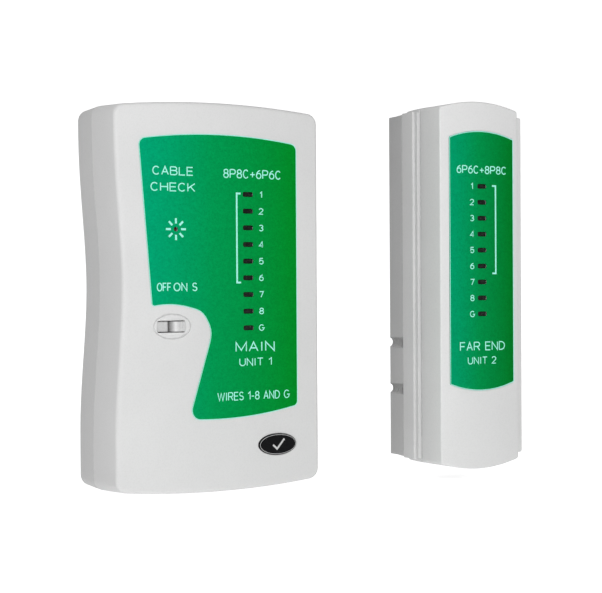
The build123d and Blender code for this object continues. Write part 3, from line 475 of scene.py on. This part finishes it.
def bowl(w, top, foot):
    """The closed side of B, D, P and R: out from the stem, round and back."""
    straight = w - (top - foot) * 0.5
    return [(0, top)] + arc(straight, (top + foot) / 2, w - straight, (top - foot) / 2, 90, -90) + [(0, foot)]


def glyph(letter):
    """A plain single-line letter as its width and its strokes, one unit tall."""
    w = {"1": 0.34, "I": 0.18, "M": 0.90, "W": 1.15, "O": 0.92, "G": 0.92, "+": 0.66, "-": 0.42,
         " ": 0.34}.get(letter, 0.66 if letter in "EFL12345678S" else 0.76)
    stem = [(0, 0), (0, 1)]
    half = w / 2
    strokes = {
        "A": [[(0, 0), (half, 1), (w, 0)], [(0.17 * w, 0.34), (0.83 * w, 0.34)]],
        "B": [stem, bowl(w * 0.94, 1, 0.54), bowl(w, 0.54, 0)],
        "C": [arc(half, 0.5, half, 0.5, 42, 318, 16)],
        "D": [stem, bowl(w, 1, 0)],
        "E": [[(w, 1), (0, 1), (0, 0), (w, 0)], [(0, 0.52), (0.92 * w, 0.52)]],
        "F": [[(w, 1), (0, 1), (0, 0)], [(0, 0.5), (0.86 * w, 0.5)]],
        "G": [arc(half, 0.5, half, 0.5, 45, 332, 16) + [(w, 0.46), (0.58 * w, 0.46)]],
        "H": [stem, [(w, 0), (w, 1)], [(0, 0.52), (w, 0.52)]],
        "I": [[(half, 0), (half, 1)]],
        "K": [stem, [(w, 1), (0, 0.36)], [(0.34 * w, 0.6), (w, 0)]],
        "L": [[(0, 1), (0, 0), (w, 0)]],
        "M": [[(0, 0), (0, 1), (half, 0.12), (w, 1), (w, 0)]],
        "N": [[(0, 0), (0, 1), (w, 0), (w, 1)]],
        "O": [arc(half, 0.5, half, 0.5, 90, 450, 20)],
        "P": [stem, bowl(w, 1, 0.46)],
        "R": [stem, bowl(w, 1, 0.48), [(0.55 * w, 0.48), (w, 0)]],
        "S": [arc(half, 0.75, half * 0.94, 0.25, 25, 270) + arc(half, 0.25, half, 0.25, 90, -160)[1:]],
        "T": [[(0, 1), (w, 1)], [(half, 1), (half, 0)]],
        "U": [[(0, 1)] + arc(half, 0.34, half, 0.34, 180, 360) + [(w, 1)]],
        "W": [[(0, 1), (0.25 * w, 0), (half, 0.94), (0.75 * w, 0), (w, 1)]],
        "1": [[(0, 0.74), (w, 1), (w, 0)]],
        "2": [arc(half, 0.71, half, 0.29, 165, -28) + [(0, 0), (w, 0)]],
        "3": [arc(half, 0.76, half * 0.9, 0.24, 155, -90), arc(half, 0.26, half, 0.26, 90, -155)],
        "4": [[(0.76 * w, 0), (0.76 * w, 1), (0, 0.27), (w, 0.27)]],
        "5": [[(0.92 * w, 1), (0.16 * w, 1), (0.04 * w, 0.48)] + arc(half, 0.33, half, 0.33, 125, -155)],
        "6": [arc(half, 0.32, half, 0.32, 90, 450, 18), arc(w, 0.36, w, 0.64, 180, 100)],
        "7": [[(0, 1), (w, 1), (0.36 * w, 0)]],
        "8": [arc(half, 0.77, half * 0.86, 0.23, 90, 450, 16), arc(half, 0.27, half, 0.27, 90, 450, 18)],
        "+": [[(0, 0.45), (w, 0.45)], [(half, 0.13), (half, 0.77)]],
        "-": [[(0, 0.42), (w, 0.42)]],
    }
    return w, strokes.get(letter, [])


def word(name, text, x, z, width, cap, y, body, stroke):
    """Single-line lettering centred on (x, z), with a given width and capital height, facing -Y."""
    cursor = 0.0
    lines = []
    for letter in text:
        wide, strokes = glyph(letter)
        lines += [[(cursor + px, pz) for px, pz in points] for points in strokes]
        cursor += wide + LETTER_GAP
    total = cursor - LETTER_GAP
    scale_x = (width - stroke) / total if total > 0.1 else cap
    scale_z = cap - stroke
    bm = bmesh.new()
    for index, points in enumerate(lines):
        placed = [(x + (px - total / 2) * scale_x, z + (pz - 0.5) * scale_z) for px, pz in points]
        strip(bm, placed, stroke, y - index % 3 * STROKE_STEP)
    return printed(name, bm, body)


def strip(bm, points, width, y, closed=False):
    """Add a flat line of even width through (x, z) points."""
    pairs = []
    count = len(points)
    looped = closed or (Vector(points[0]) - Vector(points[-1])).length < width * 0.05
    if looped and not closed:
        points = points[:-1]
        count -= 1
    for i, point in enumerate(points):
        before = points[(i - 1) % count] if looped or i else point
        after = points[(i + 1) % count] if looped or i < count - 1 else point
        first = Vector((point[0] - before[0], point[1] - before[1]))
        second = Vector((after[0] - point[0], after[1] - point[1]))
        first = first.normalized() if first.length else second.normalized()
        second = second.normalized() if second.length else first
        along = (first + second).normalized()
        square = Vector((-along.y, along.x))
        reach = width / 2 / max(SHARPEST_MITRE, square.dot(Vector((-first.y, first.x))))
        pairs.append([bm.verts.new((point[0] + side * reach * square.x, y - PRINT_LIFT,
                                    point[1] + side * reach * square.y)) for side in (-1, 1)])
    for i in range(count if looped else count - 1):
        a, b = pairs[i], pairs[(i + 1) % count]
        bm.faces.new((a[0], b[0], b[1], a[1]))


def printed(name, bm, body, ink=None):
    """Turn flat printing that faces -Y into a thin closed piece that rides on a body."""
    result = bmesh.ops.extrude_face_region(bm, geom=list(bm.faces))
    moved = [g for g in result["geom"] if isinstance(g, bmesh.types.BMVert)]
    bmesh.ops.translate(bm, verts=moved, vec=(0, -PRINT_THICK, 0))
    bmesh.ops.recalc_face_normals(bm, faces=bm.faces)
    mesh = bpy.data.meshes.new(name)
    bm.to_mesh(mesh)
    bm.free()
    mesh.materials.append(ink or INK)
    piece = bpy.data.objects.new(name, mesh)
    bpy.context.collection.objects.link(piece)
    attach(piece, body)
    return piece


def ribbon(name, points, width, y, body, closed=False, ink=None):
    """One flat printed line as a piece of its own."""
    bm = bmesh.new()
    strip(bm, points, width, y, closed)
    return printed(name, bm, body, ink)


def outline_of(node, inset):
    """The outer outline of a flat node's front face as (x, z) points, drawn in by inset."""
    bm = bmesh.new()
    bm.from_mesh(NODES[node].data)
    bmesh.ops.remove_doubles(bm, verts=bm.verts, dist=1e-6)
    front = min(v.co.y for v in bm.verts)
    flat = {f for f in bm.faces if all(abs(v.co.y - front) < 1e-6 for v in f.verts)}
    border = [e for e in bm.edges if sum(f in flat for f in e.link_faces) == 1]
    follow = {}
    for e in border:
        a, b = e.verts
        follow.setdefault(a, []).append(b)
        follow.setdefault(b, []).append(a)
    start = min(follow, key=lambda v: v.co.x)
    loop = [start]
    previous, current = None, start
    while True:
        options = [v for v in follow[current] if v is not previous]
        following = options[0]
        if following is start:
            break
        loop.append(following)
        previous, current = current, following
    points = [(v.co.x, v.co.z) for v in loop]
    bm.free()
    area = sum(a[0] * b[1] - b[0] * a[1] for a, b in zip(points, points[1:] + points[:1])) / 2
    if area < 0:
        points.reverse()
    return drawn_in(points, inset)


def drawn_in(points, inset):
    """Points of a counter-clockwise loop moved inwards."""
    moved = []
    count = len(points)
    for i, point in enumerate(points):
        before, after = points[i - 1], points[(i + 1) % count]
        first = Vector((point[0] - before[0], point[1] - before[1])).normalized()
        second = Vector((after[0] - point[0], after[1] - point[1])).normalized()
        along = (first + second).normalized()
        square = Vector((-along.y, along.x))
        reach = inset / max(SHARPEST_CORNER, square.dot(Vector((-first.y, first.x))))
        moved.append((point[0] + reach * square.x, point[1] + reach * square.y))
    return moved


def led_spots(low, high):
    """Heights of the nine LEDs, top first, from the box of their node."""
    pitch = (high.z - low.z - LED_FOOT_HEIGHT) / (LED_COUNT - 1)
    return [high.z - LED_FOOT_HEIGHT / 2 - pitch * i for i in range(LED_COUNT)]


def number_column(prefix, x, low, high, y, body):
    for text, z in zip(MARKS, led_spots(low, high)):
        width = MARK_WIDTHS.get(text, 1.36)
        word(prefix + "_mark_" + text, text, x, z, width * MM, MARK_HEIGHT, y, body, MARK_LINE)


def bracket(name, x, towards, below, low, high, y, body):
    """The line beside LEDs 1 to 6 with a tick at each end; it ends a little below LED 6."""
    spots = led_spots(low, high)
    top = spots[0] + BRACKET_ABOVE
    foot = spots[5] - below
    tick = BRACKET_TICK * towards
    ribbon(name, [(x + tick, top), (x, top), (x, foot), (x + tick, foot)], RULE_LINE, y, body)


def sun(x, z, y):
    """Short rays round the power lamp."""
    for i in range(SUN_RAYS):
        angle = 2 * math.pi * i / SUN_RAYS
        points = [(x + r * math.cos(angle), z + r * math.sin(angle)) for r in SUN_REACH]
        ribbon("sun_ray_" + str(i + 1), points, SUN_LINE, y, "main_unit")


def words(rows, x, z, y, body):
    for name, text, across, up, width, cap, stroke in rows:
        word(name, text, x + across * MM, z + up * MM, width * MM, cap * MM, y, body, stroke * MM)


def print_main():
    y = MAIN_LABEL_LOW.y
    left = MAIN_LOW.x
    words(MAIN_WORDS, left, 0.0, y, "main_unit")
    number_column("main", left + MAIN_MARKS_ACROSS, LED_LOW, LED_HIGH, y, "main_unit")
    across = left + MAIN_BRACKET_ACROSS
    bracket("main_bracket", across, 1, MAIN_BRACKET_BELOW, LED_LOW, LED_HIGH, y, "main_unit")
    sun((POWER_LOW.x + POWER_HIGH.x) / 2, (POWER_LOW.z + POWER_HIGH.z) / 2, y)
    border = outline_of("main_label", BORDER_INSET)
    ribbon("main_label_border", border, BORDER_LINE, y, "main_unit", closed=True)


def print_remote():
    y = REMOTE_LOW.y
    middle = (REMOTE_LED_LOW.x + REMOTE_LED_HIGH.x) / 2
    height = (REMOTE_LED_LOW.z + REMOTE_LED_HIGH.z) / 2
    words(REMOTE_WORDS, middle, height, y, "remote_unit")
    number_column("remote", middle + REMOTE_MARKS_ACROSS, REMOTE_LED_LOW, REMOTE_LED_HIGH, y, "remote_unit")
    across = middle + REMOTE_BRACKET_ACROSS
    bracket("remote_bracket", across, -1, REMOTE_BRACKET_BELOW, REMOTE_LED_LOW, REMOTE_LED_HIGH, y,
            "remote_unit")
    border = outline_of("remote_label", BORDER_INSET)
    ribbon("remote_label_border", border, BORDER_LINE, y, "remote_unit", closed=True)


def badge_marks():
    """A light rim round the badge, and a plain tick printed on it."""
    ink = badge_ink()
    x = (BADGE_LOW.x + BADGE_HIGH.x) / 2
    z = (BADGE_LOW.z + BADGE_HIGH.z) / 2
    reach_x = (BADGE_HIGH.x - BADGE_LOW.x) / 2 - RIM_INSET
    reach_z = (BADGE_HIGH.z - BADGE_LOW.z) / 2 - RIM_INSET
    rim = arc(x, z, reach_x, reach_z, 0, 360, RIM_STEPS)[:-1]
    ribbon("badge_rim", rim, RIM_LINE, BADGE_LOW.y, "main_unit", closed=True, ink=ink)
    tick = [(x + across * MM, z + up * MM) for across, up in TICK_POINTS]
    ribbon("badge_tick", tick, TICK_LINE, BADGE_LOW.y, "main_unit", ink=ink)


# ---- room, light and camera ----
ROOM_LEVEL = 0.13                # surround light as the object sees it
LAMPS = (                        # name, place, side length (metres) and watts
    ("key", (-0.35, -1.10, 0.50), 0.8, 8.3),
    ("fill", (0.90, -0.90, 0.35), 0.7, 0.3),
    ("top", (0.00, 0.20, 1.20), 1.2, 2.7),
)
LAMP_AIM = Vector((0.02, -0.02, 0.0))

FLOOR_WIDTH = 6.0
FLOOR_FRONT = -1.6
SWEEP_START = 0.9                # the floor starts to curve up here
SWEEP_RADIUS = 0.5
SWEEP_STEPS = 12
BACKDROP_TOP = 2.2

# The lens, place and angles are those of a camera that a helper program fitted to the photo.
CAMERA_SENSOR = 36.0
CAMERA_LENS = 89.95
CAMERA_PLACE = Vector((-174.96, -373.15, 3.76)) * MM
CAMERA_TILT = -0.534             # degrees
CAMERA_TURN = -29.775
CAMERA_ROLL = -0.344


def stage_floor():
    """A pale sweep: floor that curves up into a backdrop."""
    profile = [(FLOOR_FRONT, 0.0), (SWEEP_START, 0.0)]
    for i in range(1, SWEEP_STEPS + 1):
        angle = math.pi / 2 * i / SWEEP_STEPS
        profile.append((SWEEP_START + SWEEP_RADIUS * math.sin(angle), SWEEP_RADIUS * (1 - math.cos(angle))))
    profile.append((SWEEP_START + SWEEP_RADIUS, BACKDROP_TOP))
    bm = bmesh.new()
    sides = (-FLOOR_WIDTH / 2, FLOOR_WIDTH / 2)
    rows = [[bm.verts.new((x, y, FLOOR_Z + z)) for y, z in profile] for x in sides]
    for i in range(len(profile) - 1):
        bm.faces.new((rows[0][i], rows[1][i], rows[1][i + 1], rows[0][i + 1]))
    mesh = bpy.data.meshes.new("floor")
    bm.to_mesh(mesh)
    bm.free()
    floor = bpy.data.objects.new("floor", mesh)
    bpy.context.collection.objects.link(floor)
    for face in mesh.polygons:
        face.use_smooth = True
    mesh.materials.append(floor_paper())


def soft_light(name, place, size, watts):
    data = bpy.data.lights.new(name, "AREA")
    data.size = size
    data.energy = watts
    lamp = bpy.data.objects.new(name, data)
    lamp.location = place
    lamp.rotation_euler = (LAMP_AIM - Vector(place)).to_track_quat("-Z", "Y").to_euler()
    bpy.context.collection.objects.link(lamp)


def light_room():
    """White studio: the camera sees pure white, the object a dimmer surround and three soft lights."""
    bpy.context.scene.view_settings.view_transform = "Standard"
    world = bpy.data.worlds.new("studio")
    bpy.context.scene.world = world
    world.use_nodes = True
    nodes = world.node_tree.nodes
    links = world.node_tree.links
    background = nodes["Background"]
    background.inputs["Color"].default_value = tone(1.0)
    path = nodes.new("ShaderNodeLightPath")
    level = nodes.new("ShaderNodeMapRange")
    level.inputs["To Min"].default_value = ROOM_LEVEL
    level.inputs["To Max"].default_value = 1.0
    links.new(path.outputs["Is Camera Ray"], level.inputs["Value"])
    links.new(level.outputs["Result"], background.inputs["Strength"])
    for name, place, size, watts in LAMPS:
        soft_light(name, place, size, watts)


def set_camera():
    """Long lens from the front left, almost level with the middle of the units."""
    data = bpy.data.cameras.new("camera")
    data.sensor_width = CAMERA_SENSOR
    data.lens = CAMERA_LENS
    camera = bpy.data.objects.new("camera", data)
    camera.location = CAMERA_PLACE
    camera.rotation_euler = Euler((math.radians(90 + CAMERA_TILT), 0.0, math.radians(CAMERA_TURN)), "XYZ")
    camera.rotation_euler.rotate_axis("Z", math.radians(CAMERA_ROLL))
    bpy.context.collection.objects.link(camera)
    bpy.context.scene.camera = camera


paint_all()
print_main()
print_remote()
badge_marks()
stage_floor()
light_room()
set_camera()
